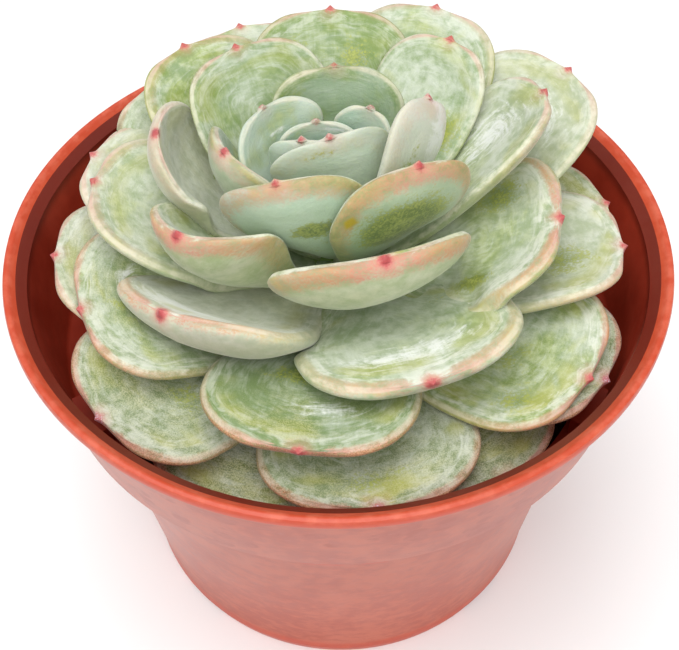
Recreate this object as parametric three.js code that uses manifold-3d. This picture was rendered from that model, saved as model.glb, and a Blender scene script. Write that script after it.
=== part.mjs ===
// A potted echeveria: a thick-leaved rosette on a short stem, in soil, in a 10 cm nursery pot.
// Millimetres, +Z up. The origin is the centre of the pot's underside.
// Azimuths are in degrees, 0 towards -Y and 90 towards +X.
import * as THREE from 'three';
import { mergeVertices } from 'three/addons/utils/BufferGeometryUtils.js';
import Module from 'manifold-3d';

// Pot: rim, collar, body and foot. The rest of the model is placed from the rim's top face.
const RIM_Z = 70;
const RIM_RADIUS = 50;
const LIP_WIDTH = 1.1;
const LIP_DROP = 1.8;
const COLLAR_TOP_RADIUS = 48;
const COLLAR_BOTTOM_RADIUS = 45.7;
const COLLAR_BOTTOM_Z = 50;
const BODY_TOP_RADIUS = 42.1;
const STEP_Z = 42;
const STEP_DEPTH = 0.5;
const BASE_RADIUS = 36;
const WALL = 1.2;
const EDGE = 0.6;
const FLOOR_TOP_Z = 2.4;
const FLOOR_UNDERSIDE_Z = 1;
const FOOT_WIDTH = 2.4;
const FOOT_RIDGE = 0.4;
const POT_SIDES = 40;

// Drain holes in the floor, notches in the foot, and lugs that keep stacked pots apart.
const DRAIN_RADIUS = 4;
const DRAIN_RING_RADIUS = 22;
const DRAIN_COUNT = 6;
const NOTCH_WIDTH = 9;
const NOTCH_HEIGHT = 1.6;
const NOTCH_COUNT = 4;
const NOTCH_FIRST_AZIMUTH = 45;
const LUG_COUNT = 3;
const LUG_FIRST_AZIMUTH = 60;
const LUG_WIDTH = 8;
const LUG_INNER_RADIUS = 41.6;
const LUG_TOP_Z = 54;

// Soil and stem.
const SOIL_EDGE_Z = 44.6;
const SOIL_CROWN = 1;
const SOIL_BUMP = 0.4;
const SOIL_RING_RADII = [36, 26, 15];
const STEM_TOP_Z = 76;
const STEM_TOP_RADIUS = 2.6;
const STEM_WIDEST_Z = 62;
const STEM_RADIUS = 5.6;
const STEM_SOIL_RADIUS = 4.8;
const STEM_FOOT_Z = 24;
const STEM_FOOT_RADIUS = 3.2;
const STEM_SIDES = 16;

// The clearance between neighbours that touch.
const GAP = 0.3;

// The leaf blank. Widths, thicknesses and cups are shares of each leaf's own.
const NECK_SHARE = 0.3;
const WIDEST_AT = 0.66;
const APEX_BLUNTNESS = 3.5;
const CROWN_SHARE = 0.24;
const WIDEST_DEPTH_SHARE = 0.18;
const BELLY_BULGE = 0.8;
const MUCRO_LENGTH = 1;
const MUCRO_RADIUS = 1.1;
const LEAF_SIDES = 8;
const SMALL_LEAF_WIDTH = 13;
const SMALL_LEAF_SIDES = 6;
const SMALL_LEAF_ROWS = [0, 0.36, 0.65, 0.86, 0.96];
const LEAF_ROWS = [0, 0.17, 0.36, 0.54, 0.7, 0.83, 0.92, 0.975];

// Leaf bases climb the stem from the oldest leaf to the youngest.
const YOUNGEST_BASE_RISE = 3;
const OLDEST_BASE_RISE = -21;
const YOUNGEST_BASE_RADIUS = 1.5;
const OLDEST_BASE_RADIUS = 3.5;

// The leaves, youngest first: the azimuth a leaf grows to, how far its tip reaches from the axis,
// how far the tip stands to the side, the tip's height above the rim, the pitch of the blade
// there, and the leaf's width, thickness, cup (share of the half width) and roll in degrees.
const LEAVES = [
  { azimuth: 206, reach: 6.2, side: 0.1, rise: 17.1, pitch: 95, width: 12.5, thick: 1.8, cup: 0.28, roll: -19 },
  { azimuth: 284, reach: 4.6, side: -1.6, rise: 18.4, pitch: 85, width: 12.5, thick: 1.9, cup: 0.28, roll: 62 },
  { azimuth: 10, reach: 1.8, side: -1.4, rise: 20.7, pitch: 91, width: 18, thick: 2.2, cup: 0.21, roll: 5 },
  { azimuth: 139, reach: 7.5, side: 0, rise: 19.4, pitch: 83, width: 10, thick: 2, cup: 0.36, roll: 8 },
  { azimuth: 238, reach: 12.8, side: -0.8, rise: 18.4, pitch: 81, width: 17.5, thick: 2.6, cup: 0.27, roll: -5 },
  { azimuth: 66, reach: 9.8, side: 9.6, rise: 22, pitch: 91, width: 16, thick: 3, cup: 0.04, roll: -17 },
  { azimuth: 334, reach: 12.9, side: -2.9, rise: 20, pitch: 79, width: 21, thick: 4, cup: 0.2, roll: 23 },
  { azimuth: 179, reach: 14.2, side: 0.4, rise: 20.6, pitch: 76, width: 20.5, thick: 3, cup: 0.28, roll: 5 },
  { azimuth: 43, reach: 13.4, side: 2.4, rise: 20.9, pitch: 84, width: 22.5, thick: 4, cup: 0.05, roll: -14 },
  { azimuth: 274, reach: 15.2, side: 0.3, rise: 18, pitch: 89, width: 20, thick: 3.6, cup: 0.39, roll: 28 },
  { azimuth: 15, reach: 21.3, side: 0.5, rise: 15.8, pitch: 72, width: 29, thick: 5.2, cup: 0.23, roll: 1 },
  { azimuth: 213, reach: 28.5, side: 0, rise: 17.5, pitch: 50, width: 23, thick: 3.6, cup: 0.35, roll: -8 },
  { azimuth: 299, reach: 25.2, side: 0.8, rise: 13.4, pitch: 69, width: 21.5, thick: 4.6, cup: 0.57, roll: 27 },
  { azimuth: 254, reach: 25.6, side: 2.8, rise: 16.5, pitch: 98, width: 21, thick: 3.6, cup: 0.4, roll: 20 },
  { azimuth: 144, reach: 31, side: 0, rise: 17.5, pitch: 52, width: 19, thick: 3.6, cup: 0.2, roll: 0 },
  { azimuth: 110, reach: 33, side: 0, rise: 17.5, pitch: 50, width: 22, thick: 3.8, cup: 0.25, roll: -18 },
  { azimuth: 181, reach: 34, side: 0, rise: 17.5, pitch: 44, width: 27, thick: 4, cup: 0.15, roll: 0 },
  { azimuth: 315, reach: 31.7, side: -2.7, rise: 6, pitch: 55, width: 32.5, thick: 5.4, cup: 0.19, roll: 15 },
  { azimuth: 29, reach: 34, side: -5, rise: 3.5, pitch: 24, width: 32, thick: 4.8, cup: 0.15, roll: 0 },
  { azimuth: 79, reach: 33, side: 0, rise: 8.5, pitch: 34, width: 30, thick: 4.4, cup: 0.15, roll: 0 },
  { azimuth: 264, reach: 37, side: 0, rise: 8, pitch: 36, width: 26, thick: 4, cup: 0.2, roll: 0 },
  { azimuth: 221, reach: 37, side: 0, rise: 15, pitch: 40, width: 25, thick: 4, cup: 0.2, roll: 0 },
  { azimuth: 155, reach: 40, side: 0, rise: 16, pitch: 40, width: 27, thick: 4, cup: 0.15, roll: 0 },
  { azimuth: 122, reach: 44, side: 0, rise: 12.5, pitch: 34, width: 28, thick: 4, cup: 0.15, roll: 0 },
  { azimuth: 352, reach: 40, side: 0, rise: -1, pitch: 14, width: 30, thick: 4.4, cup: 0.12, roll: 0 },
  { azimuth: 293, reach: 40.5, side: 0, rise: 1, pitch: 24, width: 28.5, thick: 4.2, cup: 0.15, roll: -8 },
  { azimuth: 253, reach: 40, side: 0, rise: 6.5, pitch: 30, width: 25, thick: 4, cup: 0.15, roll: 0 },
  { azimuth: 203, reach: 41, side: 0, rise: 12, pitch: 34, width: 25, thick: 4, cup: 0.15, roll: 0 },
  { azimuth: 84, reach: 43.5, side: 0, rise: 0.5, pitch: 16, width: 28, thick: 4, cup: 0.2, roll: -8 },
  { azimuth: 53, reach: 44, side: 0, rise: -3.5, pitch: 12, width: 29, thick: 4.2, cup: 0.15, roll: 8 },
  { azimuth: 228, reach: 41, side: 0, rise: 8, pitch: 26, width: 27, thick: 4, cup: 0.1, roll: 0 },
  { azimuth: 276, reach: 43.2, side: 0, rise: 0.5, pitch: 18, width: 28, thick: 4, cup: 0.1, roll: 0 },
  { azimuth: 312, reach: 45.5, side: 0, rise: -5.5, pitch: 12, width: 29, thick: 4.2, cup: 0.1, roll: -6 },
  { azimuth: 8, reach: 44.2, side: -1.4, rise: -8.5, pitch: 2, width: 32, thick: 4.2, cup: 0.08, roll: 0 },
  { azimuth: 100, reach: 44, side: 0, rise: -2, pitch: 12, width: 28, thick: 4, cup: 0.1, roll: 0 },
  { azimuth: 58, reach: 45.6, side: -1, rise: -6, pitch: 6, width: 28, thick: 4, cup: 0.1, roll: 0 },
  { azimuth: 337, reach: 44, side: 0, rise: -13, pitch: 0, width: 30, thick: 4, cup: 0.05, roll: 0 },
  { azimuth: 32, reach: 44, side: 0, rise: -12, pitch: 0, width: 28, thick: 4, cup: 0.05, roll: 0 },
  { azimuth: 146, reach: 42, side: 0, rise: 4, pitch: 18, width: 26, thick: 4, cup: 0.1, roll: 0 },
  { azimuth: 180, reach: 43, side: 0, rise: 6, pitch: 22, width: 26, thick: 4, cup: 0.1, roll: 0 },
  { azimuth: 212, reach: 43, side: 0, rise: 0, pitch: 10, width: 26, thick: 4, cup: 0.1, roll: 0 },
  { azimuth: 122, reach: 43, side: 0, rise: -5, pitch: 6, width: 26, thick: 4, cup: 0.1, roll: 0 },
  { azimuth: 165, reach: 43, side: 0, rise: -6, pitch: 6, width: 26, thick: 4, cup: 0.1, roll: 0 },
  { azimuth: 246, reach: 43, side: 0, rise: -7, pitch: 4, width: 26, thick: 4, cup: 0.1, roll: 0 },
];

// The smallest leaves of all, which grow as one bud on the stem's top.
const HEART_LEAVES = [
  { azimuth: 66, reach: 2, side: 0, rise: 17, pitch: 86, width: 6, thick: 1.2, cup: 0.3, roll: 0 },
  { azimuth: 246, reach: 0.6, side: 0, rise: 16, pitch: 90, width: 5, thick: 1.2, cup: 0.3, roll: 0 },
];
const HEART_BASE = { radius: 0.4, z: RIM_Z + 3 };

const wasm = await Module();
wasm.setup();

const toRadians = THREE.MathUtils.degToRad;
const outward = (azimuth) => new THREE.Vector3(Math.sin(azimuth), -Math.cos(azimuth), 0);
const sideways = (azimuth) => new THREE.Vector3(Math.cos(azimuth), Math.sin(azimuth), 0);

// Solids to cut and join, from closed geometries, and back again.
function solidOf(geometry) {
  const bare = geometry.clone();
  bare.deleteAttribute('normal');
  bare.deleteAttribute('uv');
  const merged = mergeVertices(bare, 1e-5);
  const mesh = new wasm.Mesh({
    numProp: 3,
    vertProperties: new Float32Array(merged.attributes.position.array),
    triVerts: new Uint32Array(merged.index.array),
  });
  return new wasm.Manifold(mesh);
}

function geometryOf(positions, triangles) {
  const geometry = new THREE.BufferGeometry();
  geometry.setAttribute('position', new THREE.Float32BufferAttribute(positions, 3));
  geometry.setIndex(triangles);
  return geometry;
}

// The biggest body of a solid, without the loose scraps that a cut can leave.
function biggestBody(solid) {
  const { vertProperties: points, triVerts: corners } = solid.getMesh();
  const parent = Array.from({ length: points.length / 3 }, (_, i) => i);
  const root = (i) => {
    while (parent[i] !== i) {
      parent[i] = parent[parent[i]];
      i = parent[i];
    }
    return i;
  };
  for (let t = 0; t < corners.length; t += 3) {
    parent[root(corners[t])] = root(corners[t + 1]);
    parent[root(corners[t + 1])] = root(corners[t + 2]);
  }
  const at = (i) => new THREE.Vector3().fromArray(points, 3 * i);
  const volumes = new Map();
  for (let t = 0; t < corners.length; t += 3) {
    const [a, b, c] = [at(corners[t]), at(corners[t + 1]), at(corners[t + 2])];
    const body = root(corners[t]);
    volumes.set(body, (volumes.get(body) ?? 0) + a.dot(b.cross(c)) / 6);
  }
  const [biggest] = [...volumes].reduce((best, entry) => (entry[1] > best[1] ? entry : best));
  const kept = [];
  for (let t = 0; t < corners.length; t += 3) {
    if (root(corners[t]) === biggest) kept.push(corners[t], corners[t + 1], corners[t + 2]);
  }
  return mergeVertices(geometryOf(Array.from(points), kept).toNonIndexed(), 1e-5);
}

// The half width along a leaf, as a share of its widest half.
function widthShare(u) {
  if (u < WIDEST_AT) {
    const t = THREE.MathUtils.smoothstep(u, 0, WIDEST_AT);
    return NECK_SHARE + (1 - NECK_SHARE) * t ** 0.9;
  }
  return Math.sqrt(Math.max(0, 1 - ((u - WIDEST_AT) / (1 - WIDEST_AT)) ** APEX_BLUNTNESS));
}

// The thickness along a leaf: thinner at the neck, full in the upper half, and blunt at the apex.
function thickShare(u) {
  const body = 0.55 + 0.45 * Math.sin((Math.PI * u) / 1.3);
  const taper = Math.sqrt(Math.max(0, 1 - Math.max(0, (u - 0.6) / 0.4) ** 4));
  return 0.1 + 0.9 * body * taper;
}

// Points round a leaf's section, as shares of the half width and the thickness: the two margins,
// a nearly flat upper face between them, and a belly that is widest a little below the margins.
function sectionShares(sides) {
  const drop = 1 - CROWN_SHARE - WIDEST_DEPTH_SHARE;
  const lift = Math.asin(WIDEST_DEPTH_SHARE / drop);
  const upperCount = sides / 2 - 1;
  const lowerCount = sides / 2 + 1;
  const points = [];
  for (let i = 0; i < upperCount; i += 1) {
    const angle = (Math.PI * i) / upperCount;
    points.push([Math.cos(lift) * Math.cos(angle), CROWN_SHARE * Math.sin(angle) ** 0.6]);
  }
  for (let i = 0; i < lowerCount; i += 1) {
    const angle = Math.PI + lift - ((Math.PI + 2 * lift) * i) / lowerCount;
    points.push([Math.cos(angle), -WIDEST_DEPTH_SHARE - drop * Math.sin(angle)]);
  }
  return points;
}

// Where a leaf's base sits on the stem, by its place in the order of age.
function leafBase(age) {
  const t = age / (LEAVES.length - 1);
  return {
    radius: THREE.MathUtils.lerp(YOUNGEST_BASE_RADIUS, OLDEST_BASE_RADIUS, t),
    z: RIM_Z + THREE.MathUtils.lerp(YOUNGEST_BASE_RISE, OLDEST_BASE_RISE, t ** 0.85),
  };
}

// A leaf: rings along a curved midrib, closed at the base and drawn out to a point at the tip.
// The midrib leaves the stem, bends upwards and arrives at the tip at the leaf's pitch.
function leafGeometry(leaf, base, grow = 0) {
  const azimuth = toRadians(leaf.azimuth);
  const out = outward(azimuth);
  const across = sideways(azimuth);
  const start = out.clone().multiplyScalar(base.radius).setZ(base.z);
  const tip = out.clone().multiplyScalar(leaf.reach).addScaledVector(across, leaf.side);
  tip.setZ(RIM_Z + leaf.rise);
  const pitch = toRadians(leaf.pitch);
  const run = 0.5 * start.distanceTo(tip);
  const bend = out.clone().multiplyScalar(leaf.reach - run * Math.cos(pitch));
  bend.setZ(RIM_Z + leaf.rise - run * Math.sin(pitch));
  const heading = tip.clone().sub(bend).normalize();
  const apex = tip.clone().addScaledVector(heading, -MUCRO_LENGTH);
  const midrib = new THREE.QuadraticBezierCurve3(start, bend, apex);

  const frameAt = (u) => {
    const along = midrib.getTangent(u);
    const flat = across.clone().addScaledVector(along, -across.dot(along)).normalize();
    const turn = toRadians(leaf.roll) * THREE.MathUtils.smoothstep(u, 0, 0.6);
    const wide = flat.clone().applyAxisAngle(along, turn);
    return { point: midrib.getPoint(u), along, wide, face: along.clone().cross(wide) };
  };

  const small = leaf.width < SMALL_LEAF_WIDTH;
  const sides = small ? SMALL_LEAF_SIDES : LEAF_SIDES;
  const rows = small ? SMALL_LEAF_ROWS : LEAF_ROWS;
  const section = sectionShares(sides);
  const positions = [];
  const addRing = (u, halfWidth, thick, cup) => {
    const { point, along, wide, face } = frameAt(u);
    const nearTip = u < 1 ? THREE.MathUtils.smoothstep(u, 0.8, 1) : 0;
    for (const [across, height] of section) {
      const x = halfWidth * across;
      const lift = (cup * x * x) / (leaf.width / 2);
      const depth = Math.max(0, -height) / (1 - CROWN_SHARE);
      const bulge = BELLY_BULGE * nearTip * 4 * depth * (1 - depth);
      const vertex = point.clone().addScaledVector(wide, x);
      vertex.addScaledVector(face, height * thick + lift).addScaledVector(along, bulge);
      positions.push(...vertex);
    }
  };
  for (const u of rows) {
    const half = (leaf.width / 2) * widthShare(u) + grow;
    addRing(u, half, leaf.thick * thickShare(u) + 2 * grow, leaf.cup);
  }
  addRing(1, MUCRO_RADIUS + grow, 1.6 * MUCRO_RADIUS + 2 * grow, 0);
  const rings = rows.length + 1;
  const baseCentre = start.clone().addScaledVector(frameAt(0).along, -grow);
  const point = tip.clone().addScaledVector(heading, grow);
  positions.push(...baseCentre, ...point);

  const triangles = [];
  const baseIndex = rings * sides;
  const pointIndex = baseIndex + 1;
  for (let i = 0; i < sides; i += 1) {
    const j = (i + 1) % sides;
    triangles.push(baseIndex, j, i);
    for (let ring = 0; ring < rings - 1; ring += 1) {
      const low = ring * sides;
      const high = low + sides;
      triangles.push(low + i, high + j, high + i, low + i, low + j, high + j);
    }
    const last = (rings - 1) * sides;
    triangles.push(last + i, last + j, pointIndex);
  }
  return geometryOf(positions, triangles);
}

// A closed solid turned about the Z axis from radius and height pairs.
function turned(profile, sides) {
  const points = profile.map(([radius, z]) => new THREE.Vector2(radius, z));
  const geometry = new THREE.LatheGeometry(points, sides);
  geometry.rotateX(Math.PI / 2);
  return geometry;
}

// A block that stands out from the axis at an azimuth, between two radii and two heights.
function radialBlock(azimuthDegrees, width, innerRadius, outerRadius, bottom, top) {
  const block = new THREE.BoxGeometry(width, outerRadius - innerRadius, top - bottom);
  block.translate(0, -(innerRadius + outerRadius) / 2, (bottom + top) / 2);
  block.rotateZ(toRadians(azimuthDegrees));
  return solidOf(block);
}

// The pot's outer radius, which tapers evenly from the base to under the collar.
function bodyRadius(z) {
  return THREE.MathUtils.mapLinear(z, 0, COLLAR_BOTTOM_Z, BASE_RADIUS, BODY_TOP_RADIUS);
}

function potGeometry() {
  const lipInner = RIM_RADIUS - LIP_WIDTH;
  const lipUnder = RIM_Z - LIP_DROP;
  const footInner = BASE_RADIUS - FOOT_WIDTH;
  let pot = solidOf(turned([
    [0, FLOOR_UNDERSIDE_Z],
    [footInner, FLOOR_UNDERSIDE_Z],
    [footInner, 0],
    [BASE_RADIUS, 0],
    [bodyRadius(FLOOR_UNDERSIDE_Z), FLOOR_UNDERSIDE_Z],
    [bodyRadius(FLOOR_TOP_Z) + FOOT_RIDGE, FLOOR_TOP_Z],
    [bodyRadius(STEP_Z) - STEP_DEPTH, STEP_Z - EDGE],
    [bodyRadius(STEP_Z), STEP_Z],
    [BODY_TOP_RADIUS, COLLAR_BOTTOM_Z],
    [COLLAR_BOTTOM_RADIUS, COLLAR_BOTTOM_Z + EDGE],
    [COLLAR_TOP_RADIUS, lipUnder],
    [RIM_RADIUS - EDGE, lipUnder],
    [RIM_RADIUS, lipUnder + EDGE],
    [RIM_RADIUS, RIM_Z - EDGE],
    [RIM_RADIUS - EDGE, RIM_Z],
    [lipInner, RIM_Z],
    [COLLAR_TOP_RADIUS - WALL, lipUnder],
    [COLLAR_BOTTOM_RADIUS - WALL, COLLAR_BOTTOM_Z + EDGE + WALL],
    [BODY_TOP_RADIUS - WALL, COLLAR_BOTTOM_Z + EDGE],
    [bodyRadius(FLOOR_TOP_Z) - WALL, FLOOR_TOP_Z],
    [0, FLOOR_TOP_Z],
  ], POT_SIDES));
  for (let i = 0; i < DRAIN_COUNT; i += 1) {
    const angle = (2 * Math.PI * i) / DRAIN_COUNT;
    const hole = new THREE.CylinderGeometry(DRAIN_RADIUS, DRAIN_RADIUS, 3 * FLOOR_TOP_Z, 12);
    hole.rotateX(Math.PI / 2);
    hole.translate(DRAIN_RING_RADIUS * Math.cos(angle), DRAIN_RING_RADIUS * Math.sin(angle), 0);
    pot = pot.subtract(solidOf(hole));
  }
  for (let i = 0; i < NOTCH_COUNT; i += 1) {
    const azimuth = NOTCH_FIRST_AZIMUTH + (360 * i) / NOTCH_COUNT;
    const reach = BASE_RADIUS + FOOT_WIDTH;
    const notch = radialBlock(azimuth, NOTCH_WIDTH, footInner - EDGE, reach, -NOTCH_HEIGHT, NOTCH_HEIGHT);
    pot = pot.subtract(notch);
  }
  for (let i = 0; i < LUG_COUNT; i += 1) {
    const azimuth = LUG_FIRST_AZIMUTH + (360 * i) / LUG_COUNT;
    const outer = COLLAR_BOTTOM_RADIUS - WALL / 2;
    const lug = radialBlock(azimuth, LUG_WIDTH, LUG_INNER_RADIUS, outer, COLLAR_BOTTOM_Z + EDGE, LUG_TOP_Z);
    pot = pot.add(lug);
  }
  return biggestBody(pot);
}

// Soil fills the pot's body and has a plain hole for the stem.
function soilGeometry() {
  const wallRadius = (z) => bodyRadius(z) - WALL - GAP;
  const bottom = FLOOR_TOP_Z + GAP;
  const crownZ = (radius) => SOIL_EDGE_Z + SOIL_CROWN * (1 - (radius / SOIL_RING_RADII[0]) ** 2);
  const holeRadius = STEM_SOIL_RADIUS + 2 * GAP;
  const geometry = turned([
    [0, bottom],
    [wallRadius(bottom) - GAP, bottom],
    [wallRadius(SOIL_EDGE_Z) - GAP, SOIL_EDGE_Z],
    ...SOIL_RING_RADII.map((radius) => [radius, crownZ(radius)]),
    [holeRadius, crownZ(holeRadius)],
    [STEM_FOOT_RADIUS + 2 * GAP, STEM_FOOT_Z - GAP],
    [0, STEM_FOOT_Z - GAP],
  ], POT_SIDES);
  const points = geometry.attributes.position;
  for (let i = 0; i < points.count; i += 1) {
    const [x, y, z] = [points.getX(i), points.getY(i), points.getZ(i)];
    const bump = SOIL_BUMP * Math.sin(0.9 * x + 2) * Math.cos(1.1 * y + 1);
    if (z > SOIL_EDGE_Z - GAP) points.setZ(i, z + bump);
  }
  return geometry;
}

// The stem, thickest among the leaf bases, with its foot in the soil.
function stemGeometry(grow = 0) {
  return turned([
    [0, STEM_FOOT_Z - grow],
    [STEM_FOOT_RADIUS + grow, STEM_FOOT_Z - grow],
    [STEM_SOIL_RADIUS + grow, SOIL_EDGE_Z],
    [STEM_RADIUS + grow, STEM_WIDEST_Z],
    [STEM_TOP_RADIUS + grow, STEM_TOP_Z],
    [0, STEM_TOP_Z + grow],
  ], STEM_SIDES);
}

const MATERIALS = {
  leaf: new THREE.MeshStandardMaterial({ color: 0xb4cdb0, roughness: 0.6, metalness: 0 }),
  stem: new THREE.MeshStandardMaterial({ color: 0x8a7a58, roughness: 0.8, metalness: 0 }),
  soil: new THREE.MeshStandardMaterial({ color: 0x2a1c14, roughness: 0.95, metalness: 0 }),
  pot: new THREE.MeshStandardMaterial({ color: 0xc8644a, roughness: 0.4, metalness: 0 }),
};

const plant = new THREE.Group();
const part = new THREE.Group();

function addPiece(group, name, geometry, material) {
  const mesh = new THREE.Mesh(geometry, material);
  mesh.name = name;
  group.add(mesh);
}

// A solid with the box round it, so that only near neighbours are cut.
const spaceOf = (geometry) => ({
  box: new THREE.Box3().setFromBufferAttribute(geometry.attributes.position),
  solid: solidOf(geometry),
});

// Leaves, from the youngest out. An older leaf gives way where the stem or a younger one lies.
const taken = [spaceOf(stemGeometry(GAP))];
const fusedHeart = (grow) => HEART_LEAVES
  .map((leaf) => solidOf(leafGeometry(leaf, HEART_BASE, grow)))
  .reduce((bud, leaf) => bud.add(leaf));
addPiece(plant, 'heart', biggestBody(fusedHeart(0).subtract(taken[0].solid)), MATERIALS.leaf);
taken.push(spaceOf(biggestBody(fusedHeart(GAP))));
LEAVES.forEach((leaf, age) => {
  const whole = spaceOf(leafGeometry(leaf, leafBase(age)));
  const near = taken.filter((other) => other.box.intersectsBox(whole.box));
  const cut = near.reduce((solid, other) => solid.subtract(other.solid), whole.solid);
  taken.push(spaceOf(leafGeometry(leaf, leafBase(age), GAP)));
  addPiece(plant, `leaf_${String(age + 1).padStart(2, '0')}`, biggestBody(cut), MATERIALS.leaf);
});
addPiece(plant, 'stem', stemGeometry(), MATERIALS.stem);
part.add(plant);
addPiece(part, 'soil', soilGeometry(), MATERIALS.soil);
addPiece(part, 'pot', potGeometry(), MATERIALS.pot);

export default part;
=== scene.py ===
"""A potted echeveria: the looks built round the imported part. Metres, +Z up, front towards -Y."""
import math
import random

import bpy
from mathutils import Matrix, Vector, bvhtree, kdtree, noise


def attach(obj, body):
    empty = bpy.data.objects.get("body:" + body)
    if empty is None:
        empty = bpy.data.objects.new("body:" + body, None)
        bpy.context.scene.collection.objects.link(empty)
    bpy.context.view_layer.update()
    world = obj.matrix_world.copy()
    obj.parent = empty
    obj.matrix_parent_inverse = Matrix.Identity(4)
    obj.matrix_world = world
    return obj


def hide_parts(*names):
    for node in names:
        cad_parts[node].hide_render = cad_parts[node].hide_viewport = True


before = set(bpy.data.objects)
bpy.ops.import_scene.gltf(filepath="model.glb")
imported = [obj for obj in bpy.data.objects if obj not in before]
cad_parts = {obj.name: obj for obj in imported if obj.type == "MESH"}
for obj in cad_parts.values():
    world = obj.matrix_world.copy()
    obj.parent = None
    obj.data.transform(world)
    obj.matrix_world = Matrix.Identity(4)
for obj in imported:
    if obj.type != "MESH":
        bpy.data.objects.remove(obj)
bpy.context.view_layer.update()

MM = 0.001
RIM_Z = 70
SOIL_Z = 44.6

# The leaves, youngest first: azimuth, reach, side, rise, pitch, width, thickness, cup and roll,
# as in the part's source.
LEAVES = (
    (206, 6.2, 0.1, 17.1, 95, 12.5, 1.8, 0.28, -19),
    (284, 4.6, -1.6, 18.4, 85, 12.5, 1.9, 0.28, 62),
    (10, 1.8, -1.4, 20.7, 91, 18, 2.2, 0.21, 5),
    (139, 7.5, 0, 19.4, 83, 10, 2, 0.36, 8),
    (238, 12.8, -0.8, 18.4, 81, 17.5, 2.6, 0.27, -5),
    (66, 9.8, 9.6, 22, 91, 16, 3, 0.04, -17),
    (334, 12.9, -2.9, 20, 79, 21, 4, 0.2, 23),
    (179, 14.2, 0.4, 20.6, 76, 20.5, 3, 0.28, 5),
    (43, 13.4, 2.4, 20.9, 84, 22.5, 4, 0.05, -14),
    (274, 15.2, 0.3, 18, 89, 20, 3.6, 0.39, 28),
    (15, 21.3, 0.5, 15.8, 72, 29, 5.2, 0.23, 1),
    (213, 28.5, 0, 17.5, 50, 23, 3.6, 0.35, -8),
    (299, 25.2, 0.8, 13.4, 69, 21.5, 4.6, 0.57, 27),
    (254, 25.6, 2.8, 16.5, 98, 21, 3.6, 0.4, 20),
    (144, 31, 0, 17.5, 52, 19, 3.6, 0.2, 0),
    (110, 33, 0, 17.5, 50, 22, 3.8, 0.25, -18),
    (181, 34, 0, 17.5, 44, 27, 4, 0.15, 0),
    (315, 31.7, -2.7, 6, 55, 32.5, 5.4, 0.19, 15),
    (29, 34, -5, 3.5, 24, 32, 4.8, 0.15, 0),
    (79, 33, 0, 8.5, 34, 30, 4.4, 0.15, 0),
    (264, 37, 0, 8, 36, 26, 4, 0.2, 0),
    (221, 37, 0, 15, 40, 25, 4, 0.2, 0),
    (155, 40, 0, 16, 40, 27, 4, 0.15, 0),
    (122, 44, 0, 12.5, 34, 28, 4, 0.15, 0),
    (352, 40, 0, -1, 14, 30, 4.4, 0.12, 0),
    (293, 40.5, 0, 1, 24, 28.5, 4.2, 0.15, -8),
    (253, 40, 0, 6.5, 30, 25, 4, 0.15, 0),
    (203, 41, 0, 12, 34, 25, 4, 0.15, 0),
    (84, 43.5, 0, 0.5, 16, 28, 4, 0.2, -8),
    (53, 44, 0, -3.5, 12, 29, 4.2, 0.15, 8),
    (228, 41, 0, 8, 26, 27, 4, 0.1, 0),
    (276, 43.2, 0, 0.5, 18, 28, 4, 0.1, 0),
    (312, 45.5, 0, -5.5, 12, 29, 4.2, 0.1, -6),
    (8, 44.2, -1.4, -8.5, 2, 32, 4.2, 0.08, 0),
    (100, 44, 0, -2, 12, 28, 4, 0.1, 0),
    (58, 45.6, -1, -6, 6, 28, 4, 0.1, 0),
    (337, 44, 0, -13, 0, 30, 4, 0.05, 0),
    (32, 44, 0, -12, 0, 28, 4, 0.05, 0),
    (146, 42, 0, 4, 18, 26, 4, 0.1, 0),
    (180, 43, 0, 6, 22, 26, 4, 0.1, 0),
    (212, 43, 0, 0, 10, 26, 4, 0.1, 0),
    (122, 43, 0, -5, 6, 26, 4, 0.1, 0),
    (165, 43, 0, -6, 6, 26, 4, 0.1, 0),
    (246, 43, 0, -7, 4, 26, 4, 0.1, 0),
)
HEART_LEAVES = (
    (66, 2, 0, 17, 86, 6, 1.2, 0.3, 0),
    (246, 0.6, 0, 16, 90, 5, 1.2, 0.3, 0),
)
HEART_BASE = (0.4, RIM_Z + 3)

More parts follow.
